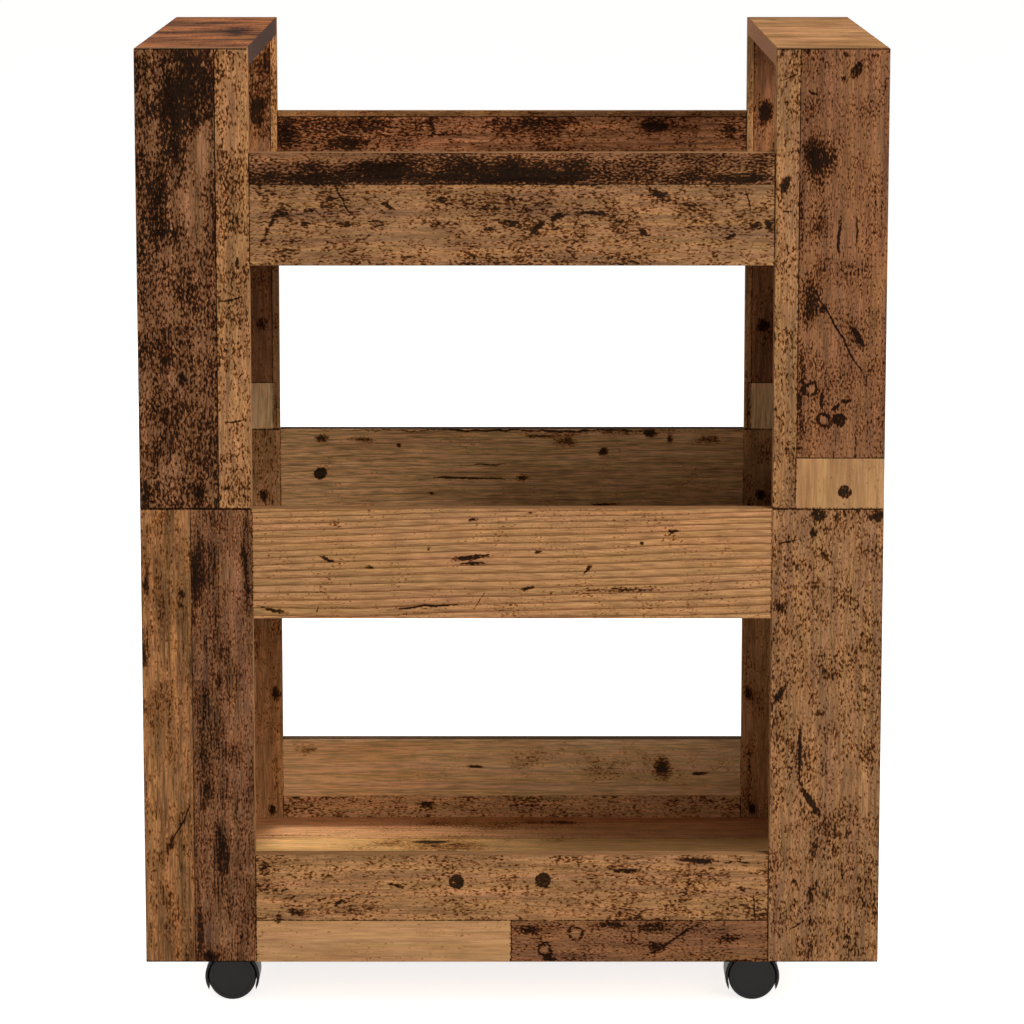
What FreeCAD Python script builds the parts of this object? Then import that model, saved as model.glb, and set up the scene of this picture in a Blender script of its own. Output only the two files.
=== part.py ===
import FreeCAD, Part
import math
import os

# Kitchen cart: three open trays between two side frames, on four twin-wheel casters.
# Millimetres, +Z up, front towards -Y, left towards -X, origin on the floor under the cart's middle.

Vector = FreeCAD.Vector
UP = Vector(0, 0, 1)
DOWN = Vector(0, 0, -1)

# Boards
CART_WIDTH = 600.0
CART_DEPTH = 450.0
BOARD = 15.0
EDGE_BREAK = 0.4
LEG_WIDTH = 90.0
TRAY_HEIGHT = 90.0
TIER_GAP = 197.0
HANDLE_RISE = 83.0
DECK_LIFT = 2.0
TIERS = ("lower", "middle", "upper")

# Casters
CASTER_INSET_X = 82.0
CASTER_INSET_Y = 90.0
CASTER_TRAIL = 16.5
WHEEL_DIAMETER = 40.0
WHEEL_WIDTH = 12.2
WHEEL_SHOULDER = 2.2
WHEEL_DOME = 0.9
WHEEL_GROOVE_INSET = 3.2
WHEEL_GROOVE_WIDTH = 0.7
WHEEL_GROOVE_DEPTH = 0.4
WHEEL_CAP = 2.4
WHEEL_GAP = 0.7
WHEEL_SIDE_GAP = 0.4
WEB_THICKNESS = 8.0
WEB_HUB_DIAMETER = 18.0
HOOD_WALL = 2.0
HOOD_WIDTH = 33.0
HOOD_EDGE_RADIUS = 0.8
HOOD_TIP_DROP = 11.5
BOSS_DIAMETER = 15.0
BOSS_RISE = 8.8
BOSS_SEAT = 4.5
BOSS_CONE = 5.0
BOSS_CONE_TIP = 7.0
STEM_DIAMETER = 8.0
STEM_ENGAGEMENT = 13.0
STEM_END_GAP = 0.5
STEM_HEAD_FLARE = 1.2
AXLE_DIAMETER = 6.0
AXLE_END_GAP = 0.5
AXLE_CHAMFER = 0.5
SNAP_GROOVE_DEPTH = 0.4
SNAP_GROOVE_WIDTH = 2.0
SNAP_SIDE_GAP = 0.3
PLATE_SIZE = 40.0
PLATE_THICKNESS = 2.0
PLATE_CORNER = 5.0
PLATE_HOLE_PITCH = 29.0
SCREW_DIAMETER = 3.5
SCREW_GRIP = 9.0
SCREW_POINT = 2.0
SCREW_HEAD_DIAMETER = 6.8
SCREW_HEAD_HEIGHT = 2.2
SCREW_HEAD_RIM = 0.9
SCREW_HOLE_DIAMETER = 4.2
WASHER_DIAMETER = 18.0
WASHER_THICKNESS = 1.2
WASHER_GAP = 0.3
RING_THICKNESS = 1.4
RING_DEPTH = 0.8
RING_PROUD = 0.6
RING_GAP = 0.3
RING_DROP = 6.5
RING_SLIT = 2.0

# Knock-down fittings hidden in the boards
DOWEL_DIAMETER = 6.0
DOWEL_LENGTH = 30.0
DOWEL_CHAMFER = 0.8
CAM_DIAMETER = 15.0
CAM_REACH = 24.0
CAM_FLOOR = 3.0
CAM_SLOT = 7.6
CAM_CROSS_LENGTH = 9.0
CAM_CROSS_WIDTH = 1.8
CAM_CROSS_DEPTH = 1.4
BOLT_DIAMETER = 6.0
BOLT_NECK_DIAMETER = 4.6
BOLT_HEAD_DIAMETER = 6.8
BOLT_HEAD_LENGTH = 3.2
BOLT_BORE_DIAMETER = 7.4
BLIND_WALL = 4.0
HOLE_SLACK = 1.0

# Clearances
RUNNING_GAP = 0.05
FITTED_GAP = 0.05
CAM_GAP = 0.1
CUT_OVERRUN = 1.0

# Where the fittings sit along their joints
LEG_CAM_END = 55.0
LEG_DOWEL_END = 120.0
LEG_SEAM_SPREAD = 18.0
LEG_DECK_INSET = 37.0
DECK_CAM_Y = 70.0
DECK_DOWEL_Y = 165.0
TRAY_CAM_X = 150.0
TRAY_DOWEL_X = 60.0
TRAY_END_SPREAD = 25.0
HANDLE_DOWEL_INSET = 20.0
PANEL_SEAM_CAM_Y = 90.0
PANEL_SEAM_DOWEL_Y = 150.0

# Places worked out from the sizes above
HALF_WIDTH = CART_WIDTH / 2
HALF_DEPTH = CART_DEPTH / 2
LEG_INNER_X = HALF_WIDTH - LEG_WIDTH
LEG_MIDDLE_X = HALF_WIDTH - LEG_WIDTH / 2
PANEL_INNER_X = HALF_WIDTH - BOARD
PANEL_MIDDLE_X = HALF_WIDTH - BOARD / 2
FACE_INNER_Y = HALF_DEPTH - BOARD
FACE_MIDDLE_Y = HALF_DEPTH - BOARD / 2

WHEEL_RADIUS = WHEEL_DIAMETER / 2
WHEEL_INNER_Y = WEB_THICKNESS / 2 + WHEEL_SIDE_GAP
WHEEL_OUTER_Y = WHEEL_INNER_Y + WHEEL_WIDTH
WHEEL_FACE_Y = WHEEL_OUTER_Y + WHEEL_DOME
WHEEL_BORE_END = WHEEL_FACE_Y - WHEEL_CAP
AXLE_END_Y = WHEEL_BORE_END - AXLE_END_GAP
SNAP_Y = (WHEEL_INNER_Y + AXLE_END_Y) / 2
AXLE_RADIUS = AXLE_DIAMETER / 2
STEM_RADIUS = STEM_DIAMETER / 2
BOSS_RADIUS = BOSS_DIAMETER / 2
HOOD_INNER_RADIUS = WHEEL_RADIUS + WHEEL_GAP
HOOD_OUTER_RADIUS = HOOD_INNER_RADIUS + HOOD_WALL
BOSS_TOP_Z = WHEEL_RADIUS + HOOD_OUTER_RADIUS + BOSS_RISE
WASHER_Z = BOSS_TOP_Z + WASHER_GAP
PLATE_Z = WASHER_Z + WASHER_THICKNESS
CASTER_TOP_Z = PLATE_Z + PLATE_THICKNESS
STEM_X = HALF_WIDTH - CASTER_INSET_X
STEM_Y = HALF_DEPTH - CASTER_INSET_Y
STEM_END_Z = BOSS_TOP_Z - STEM_ENGAGEMENT
RING_Z = BOSS_TOP_Z - RING_DROP

TRAY_PITCH = TRAY_HEIGHT + TIER_GAP
BASE_Z = CASTER_TOP_Z - DECK_LIFT
TRAY_Z = [BASE_Z + TRAY_PITCH * tier for tier in range(len(TIERS))]
SEAM_Z = TRAY_Z[1] + TRAY_HEIGHT
RIM_Z = TRAY_Z[2] + TRAY_HEIGHT
TOP_Z = RIM_Z + HANDLE_RISE

BLIND_DEPTH = BOARD - BLIND_WALL
FACE_GRIP = BLIND_DEPTH - HOLE_SLACK
CAM_DEPTH = BOARD - CAM_FLOOR

SIDES = (("left", -1), ("right", 1))
FACES = (("front", -1), ("rear", 1))
LEVELS = (("lower", BASE_Z, SEAM_Z), ("upper", SEAM_Z, RIM_Z))
LEG_TOP_Z = {"lower": SEAM_Z, "upper": TOP_Z}

boards = {}
cuts = {}
pieces = {}
fittings = {"wood_dowels": [], "cam_bolts": [], "cam_locks": []}


def turned(outline):
    """A solid turned about Z from a closed outline of (radius, z) points."""
    points = [Vector(radius, 0, z) for radius, z in outline]
    wire = Part.makePolygon(points + points[:1])
    return Part.Face(wire).revolve(Vector(0, 0, 0), UP, 360)


def placed(shape, at, z_axis, x_axis=None):
    """A copy of a shape with its origin moved to a point and its axes turned."""
    if x_axis is None:
        turn = FreeCAD.Rotation(UP, z_axis)
    else:
        turn = FreeCAD.Rotation(x_axis, z_axis.cross(x_axis), z_axis, "ZXY")
    copy = shape.copy()
    copy.Placement = FreeCAD.Placement(at, turn)
    return copy


def board(name, x_span, y_span, z_span):
    """A board with lightly broken edges, between pairs of planes."""
    low = Vector(min(x_span), min(y_span), min(z_span))
    high = Vector(max(x_span), max(y_span), max(z_span))
    size = high - low
    block = Part.makeBox(size.x, size.y, size.z, low)
    boards[name] = block.makeChamfer(EDGE_BREAK, block.Edges)
    cuts[name] = []


def drill(name, at, along, radius, depth):
    """A round hole in a board, from a point on its surface."""
    mouth = at - along * CUT_OVERRUN
    cuts[name].append(Part.makeCylinder(radius, depth + CUT_OVERRUN, mouth, along))


def cross_recess(length, width, depth):
    """The cross that a screwdriver turns, sunk below z = 0."""
    height = depth + CUT_OVERRUN
    bar = Part.makeBox(length, width, height, Vector(-length / 2, -width / 2, -depth))
    return bar.fuse(Part.makeBox(width, length, height, Vector(-width / 2, -length / 2, -depth)))


def dowel_solid():
    """A fluted dowel's plain outline, standing on z = 0."""
    radius = DOWEL_DIAMETER / 2
    return turned([
        (0, 0),
        (radius - DOWEL_CHAMFER, 0),
        (radius, DOWEL_CHAMFER),
        (radius, DOWEL_LENGTH - DOWEL_CHAMFER),
        (radius - DOWEL_CHAMFER, DOWEL_LENGTH),
        (0, DOWEL_LENGTH),
    ])


def bolt_solid():
    """A cam bolt: thread above z = 0, neck and head below it."""
    head_top = BOLT_HEAD_LENGTH / 2 - CAM_REACH
    return turned([
        (0, head_top - BOLT_HEAD_LENGTH),
        (BOLT_HEAD_DIAMETER / 2, head_top - BOLT_HEAD_LENGTH),
        (BOLT_HEAD_DIAMETER / 2, head_top),
        (BOLT_NECK_DIAMETER / 2, head_top),
        (BOLT_NECK_DIAMETER / 2, 0),
        (BOLT_DIAMETER / 2, 0),
        (BOLT_DIAMETER / 2, FACE_GRIP - DOWEL_CHAMFER),
        (BOLT_DIAMETER / 2 - DOWEL_CHAMFER, FACE_GRIP),
        (0, FACE_GRIP),
    ])


def cam_solid():
    """A cam lock, its face at z = 0 and its open side towards +X."""
    radius = CAM_DIAMETER / 2
    disc = Part.makeCylinder(radius, CAM_DEPTH, Vector(0, 0, -CAM_DEPTH))
    slot_low = Vector(-CAM_SLOT / 2, -CAM_SLOT / 2, -BOARD / 2 - CAM_SLOT / 2)
    slot = Part.makeBox(radius + CAM_SLOT, CAM_SLOT, CAM_SLOT, slot_low)
    return disc.cut([slot, cross_recess(CAM_CROSS_LENGTH, CAM_CROSS_WIDTH, CAM_CROSS_DEPTH)])


DOWEL = dowel_solid()
BOLT = bolt_solid()
CAM = cam_solid()


def add_dowel(first, second, at, into_second, depth_in_second):
    """A dowel across the plane where two boards meet."""
    radius = DOWEL_DIAMETER / 2 + FITTED_GAP
    depth_in_first = DOWEL_LENGTH - depth_in_second
    drill(second, at, into_second, radius, depth_in_second + HOLE_SLACK)
    drill(first, at, -into_second, radius, depth_in_first + HOLE_SLACK)
    fittings["wood_dowels"].append(placed(DOWEL, at - into_second * depth_in_first, into_second))


def add_cam(first, second, at, into_second, cam_face):
    """A cam lock in the first board that pulls on a bolt in the second."""
    cam_at = at - into_second * CAM_REACH + cam_face * (BOARD / 2)
    drill(second, at, into_second, BOLT_DIAMETER / 2 + FITTED_GAP, BLIND_DEPTH)
    drill(first, at, -into_second, BOLT_BORE_DIAMETER / 2, CAM_REACH)
    drill(first, cam_at, -cam_face, CAM_DIAMETER / 2 + CAM_GAP, CAM_DEPTH)
    fittings["cam_bolts"].append(placed(BOLT, at, into_second))
    fittings["cam_locks"].append(placed(CAM, cam_at, cam_face, into_second))


def make_side_frames():
    """Leg boards, side panels stacked at the seam, and a handle with an open grip under it, on each side."""
    for side, sx in SIDES:
        for level, z0, z1 in LEVELS:
            panel_x = (sx * PANEL_INNER_X, sx * HALF_WIDTH)
            board(f"{side}_side_panel_{level}", panel_x, (-FACE_INNER_Y, FACE_INNER_Y), (z0, z1))
            for face, sy in FACES:
                leg_x = (sx * LEG_INNER_X, sx * HALF_WIDTH)
                leg_y = (sy * FACE_INNER_Y, sy * HALF_DEPTH)
                board(f"{face}_{side}_leg_{level}", leg_x, leg_y, (z0, LEG_TOP_Z[level]))
        handle_x = (sx * LEG_INNER_X, sx * HALF_WIDTH)
        board(f"{side}_handle", handle_x, (-FACE_INNER_Y, FACE_INNER_Y), (TOP_Z - BOARD, TOP_Z))


def make_trays():
    """Front and rear boards and a deck for each tier."""
    for tier, z0 in zip(TIERS, TRAY_Z):
        for face, sy in FACES:
            tray_y = (sy * FACE_INNER_Y, sy * HALF_DEPTH)
            board(f"{tier}_tray_{face}", (-LEG_INNER_X, LEG_INNER_X), tray_y, (z0, z0 + TRAY_HEIGHT))
        deck_z = (z0 + DECK_LIFT, z0 + DECK_LIFT + BOARD)
        deck_y = (-FACE_INNER_Y, FACE_INNER_Y)
        board(f"{tier}_deck", (-PANEL_INNER_X, PANEL_INNER_X), deck_y, deck_z)


def join_legs_to_panels():
    """Two cams and two dowels hold each leg board to the edge of its side panel."""
    for side, sx in SIDES:
        inwards = Vector(-sx, 0, 0)
        for face, sy in FACES:
            outwards = Vector(0, sy, 0)
            for level, z0, z1 in LEVELS:
                panel = f"{side}_side_panel_{level}"
                leg = f"{face}_{side}_leg_{level}"
                for z in (z0 + LEG_CAM_END, z1 - LEG_CAM_END):
                    at = Vector(sx * PANEL_MIDDLE_X, sy * FACE_INNER_Y, z)
                    add_cam(panel, leg, at, outwards, inwards)
                for z in (z0 + LEG_DOWEL_END, z1 - LEG_DOWEL_END):
                    at = Vector(sx * PANEL_MIDDLE_X, sy * FACE_INNER_Y, z)
                    add_dowel(panel, leg, at, outwards, FACE_GRIP)


def join_seams():
    """Upright dowels and cams tie the upper boards to the lower ones."""
    for side, sx in SIDES:
        upper_panel = f"{side}_side_panel_upper"
        lower_panel = f"{side}_side_panel_lower"
        for end in (-1, 1):
            cam_at = Vector(sx * PANEL_MIDDLE_X, end * PANEL_SEAM_CAM_Y, SEAM_Z)
            add_cam(upper_panel, lower_panel, cam_at, DOWN, Vector(-sx, 0, 0))
            dowel_at = Vector(sx * PANEL_MIDDLE_X, end * PANEL_SEAM_DOWEL_Y, SEAM_Z)
            add_dowel(upper_panel, lower_panel, dowel_at, DOWN, DOWEL_LENGTH / 2)
        for face, sy in FACES:
            for spread in (-LEG_SEAM_SPREAD, LEG_SEAM_SPREAD):
                at = Vector(sx * (LEG_MIDDLE_X + spread), sy * FACE_MIDDLE_Y, SEAM_Z)
                upper_leg = f"{face}_{side}_leg_upper"
                add_dowel(upper_leg, f"{face}_{side}_leg_lower", at, DOWN, DOWEL_LENGTH / 2)


def join_trays():
    """Decks are cammed to the panels and tray boards, and dowelled to the legs."""
    for tier, z0 in zip(TIERS, TRAY_Z):
        deck = f"{tier}_deck"
        level = "upper" if z0 >= SEAM_Z else "lower"
        z = z0 + DECK_LIFT + BOARD / 2
        for side, sx in SIDES:
            sideways = Vector(sx, 0, 0)
            panel = f"{side}_side_panel_{level}"
            for end in (-1, 1):
                cam_at = Vector(sx * PANEL_INNER_X, end * DECK_CAM_Y, z)
                add_cam(deck, panel, cam_at, sideways, DOWN)
                dowel_at = Vector(sx * PANEL_INNER_X, end * DECK_DOWEL_Y, z)
                add_dowel(deck, panel, dowel_at, sideways, FACE_GRIP)
        for face, sy in FACES:
            outwards = Vector(0, sy, 0)
            front = f"{tier}_tray_{face}"
            for side, sx in SIDES:
                leg = f"{face}_{side}_leg_{level}"
                add_cam(deck, front, Vector(sx * TRAY_CAM_X, sy * FACE_INNER_Y, z), outwards, DOWN)
                dowel_at = Vector(sx * TRAY_DOWEL_X, sy * FACE_INNER_Y, z)
                add_dowel(deck, front, dowel_at, outwards, FACE_GRIP)
                leg_at = Vector(sx * (LEG_INNER_X + LEG_DECK_INSET), sy * FACE_INNER_Y, z)
                add_dowel(deck, leg, leg_at, outwards, FACE_GRIP)
                for spread in (-TRAY_END_SPREAD, TRAY_END_SPREAD):
                    end_z = z0 + TRAY_HEIGHT / 2 + spread
                    at = Vector(sx * LEG_INNER_X, sy * FACE_MIDDLE_Y, end_z)
                    add_dowel(front, leg, at, Vector(sx, 0, 0), DOWEL_LENGTH / 2)


def join_handles():
    """A cam and two dowels hold each end of a handle to its leg."""
    z = TOP_Z - BOARD / 2
    for side, sx in SIDES:
        handle = f"{side}_handle"
        for face, sy in FACES:
            leg = f"{face}_{side}_leg_upper"
            outwards = Vector(0, sy, 0)
            add_cam(handle, leg, Vector(sx * LEG_MIDDLE_X, sy * FACE_INNER_Y, z), outwards, DOWN)
            for x in (LEG_INNER_X + HANDLE_DOWEL_INSET, HALF_WIDTH - HANDLE_DOWEL_INSET):
                at = Vector(sx * x, sy * FACE_INNER_Y, z)
                add_dowel(handle, leg, at, outwards, FACE_GRIP)


def screw_solid():
    """A pan-head screw, its head under z = 0 and its shank above."""
    shank = PLATE_THICKNESS + SCREW_GRIP
    radius = SCREW_DIAMETER / 2
    head_radius = SCREW_HEAD_DIAMETER / 2
    body = turned([
        (0, -SCREW_HEAD_HEIGHT),
        (head_radius - SCREW_HEAD_RIM, -SCREW_HEAD_HEIGHT),
        (head_radius, SCREW_HEAD_RIM - SCREW_HEAD_HEIGHT),
        (head_radius, 0),
        (radius, 0),
        (radius, shank - SCREW_POINT),
        (0, shank),
    ])
    recess = cross_recess(SCREW_HEAD_DIAMETER / 2, SCREW_HEAD_RIM, SCREW_HEAD_RIM)
    return body.cut(placed(recess, Vector(0, 0, -SCREW_HEAD_HEIGHT), DOWN))


def stem_outline(gap):
    """Outline of the stem's countersunk head, let into the plate's thickness."""
    radius = STEM_RADIUS + gap
    return [
        (0, PLATE_Z),
        (radius, PLATE_Z),
        (radius + STEM_HEAD_FLARE, CASTER_TOP_Z),
        (0, CASTER_TOP_Z),
    ]


def stem_solid():
    """The swivel stem, with a groove for its grip ring."""
    groove = RING_THICKNESS / 2
    groove_radius = STEM_RADIUS - RING_DEPTH
    shaft = turned([
        (0, STEM_END_Z),
        (STEM_RADIUS - AXLE_CHAMFER, STEM_END_Z),
        (STEM_RADIUS, STEM_END_Z + AXLE_CHAMFER),
        (STEM_RADIUS, RING_Z - groove),
        (groove_radius, RING_Z - groove),
        (groove_radius, RING_Z + groove),
        (STEM_RADIUS, RING_Z + groove),
        (STEM_RADIUS, PLATE_Z),
        (0, PLATE_Z),
    ])
    return shaft.fuse(turned(stem_outline(0))).removeSplitter()


def plate_solid():
    """The square mounting plate, with a countersink for the stem and four screw holes."""
    half = PLATE_SIZE / 2
    block = Part.makeBox(PLATE_SIZE, PLATE_SIZE, PLATE_THICKNESS, Vector(-half, -half, PLATE_Z))
    corners = [edge for edge in block.Edges if abs(edge.tangentAt(edge.FirstParameter).z) > 0.5]
    block = block.makeFillet(PLATE_CORNER, corners)
    holes = [turned(stem_outline(FITTED_GAP))]
    for x, y in screw_places():
        holes.append(Part.makeCylinder(SCREW_HOLE_DIAMETER / 2, PLATE_THICKNESS, Vector(x, y, PLATE_Z)))
    return block.cut(holes)


def screw_places():
    """Screw positions about the stem."""
    half = PLATE_HOLE_PITCH / 2
    return [(x, y) for x in (-half, half) for y in (-half, half)]


def washer_solid():
    """The sliding washer between the plate and the hood's boss."""
    inner = STEM_RADIUS + RING_GAP
    outer = WASHER_DIAMETER / 2
    top = WASHER_Z + WASHER_THICKNESS
    return turned([(inner, WASHER_Z), (outer, WASHER_Z), (outer, top), (inner, top)])


def ring_solid():
    """The split ring in the stem's groove that keeps the hood on."""
    inner = STEM_RADIUS - RING_DEPTH + FITTED_GAP
    outer = STEM_RADIUS + RING_PROUD
    half = RING_THICKNESS / 2 - FITTED_GAP
    ring = turned([(inner, -half), (outer, -half), (outer, half), (inner, half)])
    slit = Part.makeBox(2 * outer, RING_SLIT, RING_THICKNESS, Vector(0, -RING_SLIT / 2, -RING_THICKNESS / 2))
    return ring.cut(slit)


def hood_solid():
    """The moulded hood: a fender over both wheels, a web between them and the stem's boss."""
    half = HOOD_WIDTH / 2
    rim = HOOD_OUTER_RADIUS - HOOD_EDGE_RADIUS
    drum = turned([
        (0, -half),
        (rim, -half),
        (HOOD_OUTER_RADIUS, HOOD_EDGE_RADIUS - half),
        (HOOD_OUTER_RADIUS, half - HOOD_EDGE_RADIUS),
        (rim, half),
        (0, half),
    ])
    drum = placed(drum, Vector(0, 0, WHEEL_RADIUS), Vector(0, 1, 0))
    cone_top = STEM_END_Z - BOSS_SEAT
    boss = turned([
        (0, cone_top - BOSS_CONE),
        (BOSS_CONE_TIP / 2, cone_top - BOSS_CONE),
        (BOSS_RADIUS, cone_top),
        (BOSS_RADIUS, BOSS_TOP_Z),
        (0, BOSS_TOP_Z),
    ])
    body = drum.fuse(placed(boss, Vector(CASTER_TRAIL, 0, 0), UP))
    axle_centre = Vector(0, 0, WHEEL_RADIUS)
    cutters = []
    for sy in (-1, 1):
        outwards = Vector(0, sy, 0)
        mouth = axle_centre + outwards * (WEB_THICKNESS / 2)
        cutters.append(Part.makeCylinder(HOOD_INNER_RADIUS, HOOD_WIDTH, mouth, outwards))
    tip_x = math.sqrt(HOOD_OUTER_RADIUS ** 2 - HOOD_TIP_DROP ** 2)
    under_low = Vector(-tip_x, -half, WHEEL_RADIUS - HOOD_OUTER_RADIUS)
    under = Part.makeBox(2 * tip_x, HOOD_WIDTH, HOOD_OUTER_RADIUS, under_low)
    hub_start = Vector(0, -WEB_THICKNESS / 2, WHEEL_RADIUS)
    hub = Part.makeCylinder(WEB_HUB_DIAMETER / 2, WEB_THICKNESS, hub_start, Vector(0, 1, 0))
    cutters.append(under.cut(hub))
    bore_start = Vector(0, -HOOD_WIDTH, WHEEL_RADIUS)
    cutters.append(Part.makeCylinder(AXLE_RADIUS + FITTED_GAP, 2 * HOOD_WIDTH, bore_start, Vector(0, 1, 0)))
    bore = STEM_RADIUS + RUNNING_GAP
    groove = RING_THICKNESS / 2 + RING_GAP
    groove_radius = STEM_RADIUS + RING_PROUD + RING_GAP
    stem_bore = turned([
        (0, STEM_END_Z - STEM_END_GAP),
        (bore, STEM_END_Z - STEM_END_GAP),
        (bore, RING_Z - groove),
        (groove_radius, RING_Z - groove),
        (groove_radius, RING_Z + groove),
        (bore, RING_Z + groove),
        (bore, BOSS_TOP_Z + CUT_OVERRUN),
        (0, BOSS_TOP_Z + CUT_OVERRUN),
    ])
    cutters.append(placed(stem_bore, Vector(CASTER_TRAIL, 0, 0), UP))
    return body.cut(cutters)


def axle_solid():
    """The steel axle, with a snap groove for each wheel, along Z about its own middle."""
    groove = SNAP_GROOVE_WIDTH / 2
    groove_radius = AXLE_RADIUS - SNAP_GROOVE_DEPTH
    half = [
        (AXLE_RADIUS, SNAP_Y - groove),
        (groove_radius, SNAP_Y - groove),
        (groove_radius, SNAP_Y + groove),
        (AXLE_RADIUS, SNAP_Y + groove),
        (AXLE_RADIUS, AXLE_END_Y - AXLE_CHAMFER),
        (AXLE_RADIUS - AXLE_CHAMFER, AXLE_END_Y),
        (0, AXLE_END_Y),
    ]
    other_half = [(radius, -z) for radius, z in reversed(half)]
    return turned(other_half + half)


def wheel_solid():
    """One wheel: round shoulder, ring groove and domed face, with a blind bore, along +Z."""
    bore = AXLE_RADIUS + RUNNING_GAP
    ridge = bore - SNAP_GROOVE_DEPTH
    ridge_half = SNAP_GROOVE_WIDTH / 2 - SNAP_SIDE_GAP
    shoulder_r = WHEEL_RADIUS - WHEEL_SHOULDER
    shoulder_z = WHEEL_OUTER_Y - WHEEL_SHOULDER
    lean = WHEEL_SHOULDER * math.sqrt(0.5)
    groove_out = WHEEL_RADIUS - WHEEL_GROOVE_INSET
    groove_in = groove_out - WHEEL_GROOVE_WIDTH
    groove_z = WHEEL_OUTER_Y - WHEEL_GROOVE_DEPTH
    before_arc = [
        (0, WHEEL_BORE_END),
        (bore, WHEEL_BORE_END),
        (bore, SNAP_Y + ridge_half),
        (ridge, SNAP_Y + ridge_half),
        (ridge, SNAP_Y - ridge_half),
        (bore, SNAP_Y - ridge_half),
        (bore, WHEEL_INNER_Y),
        (WHEEL_RADIUS - AXLE_CHAMFER, WHEEL_INNER_Y),
        (WHEEL_RADIUS, WHEEL_INNER_Y + AXLE_CHAMFER),
        (WHEEL_RADIUS, shoulder_z),
    ]
    after_arc = [
        (shoulder_r, WHEEL_OUTER_Y),
        (groove_out, WHEEL_OUTER_Y),
        (groove_out, groove_z),
        (groove_in, groove_z),
        (groove_in, WHEEL_OUTER_Y),
    ]
    first = [Vector(radius, 0, z) for radius, z in before_arc]
    second = [Vector(radius, 0, z) for radius, z in after_arc]
    shoulder_middle = Vector(shoulder_r + lean, 0, shoulder_z + lean)
    dome_radius = (groove_in ** 2 + WHEEL_DOME ** 2) / (2 * WHEEL_DOME)
    dome_angle = math.asin(groove_in / dome_radius) / 2
    dome_drop = dome_radius * (1 - math.cos(dome_angle))
    dome_middle = Vector(dome_radius * math.sin(dome_angle), 0, WHEEL_FACE_Y - dome_drop)
    face_centre = Vector(0, 0, WHEEL_FACE_Y)
    edges = [Part.makeLine(a, b) for a, b in zip(first, first[1:])]
    edges.append(Part.Arc(first[-1], shoulder_middle, second[0]).toShape())
    edges += [Part.makeLine(a, b) for a, b in zip(second, second[1:])]
    edges.append(Part.Arc(second[-1], dome_middle, face_centre).toShape())
    edges.append(Part.makeLine(face_centre, first[0]))
    return Part.Face(Part.Wire(edges)).revolve(Vector(0, 0, 0), UP, 360)


def make_casters():
    """Four casters under the lower deck, all trailing towards the left."""
    plate = plate_solid()
    stem = stem_solid()
    hood = hood_solid()
    axle = axle_solid()
    wheel = wheel_solid()
    screw = screw_solid()
    washer = washer_solid()
    ring = ring_solid()
    screws = []
    washers = []
    rings = []
    for face, sy in FACES:
        for side, sx in SIDES:
            name = f"caster_{face}_{side}"
            stem_at = Vector(sx * STEM_X, sy * STEM_Y, 0)
            wheel_at = stem_at - Vector(CASTER_TRAIL, 0, 0)
            axle_at = wheel_at + Vector(0, 0, WHEEL_RADIUS)
            pieces[f"{name}_plate"] = placed(plate, stem_at, UP)
            pieces[f"{name}_stem"] = placed(stem, stem_at, UP)
            pieces[f"{name}_hood"] = placed(hood, wheel_at, UP)
            pieces[f"{name}_axle"] = placed(axle, axle_at, Vector(0, 1, 0))
            for wheel_face, wheel_sy in FACES:
                pieces[f"{name}_wheel_{wheel_face}"] = placed(wheel, axle_at, Vector(0, wheel_sy, 0))
            washers.append(placed(washer, stem_at, UP))
            rings.append(placed(ring, stem_at + Vector(0, 0, RING_Z), UP))
            for x, y in screw_places():
                head_at = stem_at + Vector(x, y, PLATE_Z)
                screws.append(placed(screw, head_at, UP))
                deck_at = stem_at + Vector(x, y, CASTER_TOP_Z)
                drill("lower_deck", deck_at, UP, SCREW_DIAMETER / 2 + FITTED_GAP, SCREW_GRIP + HOLE_SLACK)
    pieces["caster_screws"] = Part.makeCompound(screws)
    pieces["swivel_washers"] = Part.makeCompound(washers)
    pieces["stem_grip_rings"] = Part.makeCompound(rings)


make_side_frames()
make_trays()
join_legs_to_panels()
join_seams()
join_trays()
join_handles()
make_casters()

for name, block in boards.items():
    pieces[name] = block.cut(cuts[name])
for name, solids in fittings.items():
    pieces[name] = Part.makeCompound(solids)

os.makedirs("parts", exist_ok=True)
for name, shape in pieces.items():
    shape.exportStep(f"parts/{name}.step")
    print(f"{name}: {len(shape.Solids)} solids, {shape.Volume:.0f} mm3, valid {shape.isValid()}")
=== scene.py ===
# Kitchen cart of boards printed as old planks, on four twin-wheel casters: finishes, light and camera.
import math
import random
from collections import namedtuple

import bpy
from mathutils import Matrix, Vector


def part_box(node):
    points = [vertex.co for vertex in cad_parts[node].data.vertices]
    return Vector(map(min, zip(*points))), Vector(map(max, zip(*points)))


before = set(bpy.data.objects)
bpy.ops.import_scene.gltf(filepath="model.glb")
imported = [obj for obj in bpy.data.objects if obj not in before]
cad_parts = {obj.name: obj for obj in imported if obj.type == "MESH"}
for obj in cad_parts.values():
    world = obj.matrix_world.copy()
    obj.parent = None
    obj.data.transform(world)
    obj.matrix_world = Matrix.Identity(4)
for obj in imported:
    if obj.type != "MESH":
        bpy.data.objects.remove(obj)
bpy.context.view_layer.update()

scene = bpy.context.scene
scene.view_settings.view_transform = "Standard"

# Scale: the frame is in metres, patterns are worked out in millimetres
PER_METRE = 1000.0

# Camera: height above the floor and distance from the cart's middle in metres, turns in degrees from looking
# straight down, lens and sensor in millimetres
EYE_HEIGHT = 1.0173
EYE_DISTANCE = 3.7181
EYE_LEVEL = 90.0
EYE_TILT = 9.585
LENS = 154.43
SENSOR = 36.0

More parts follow.
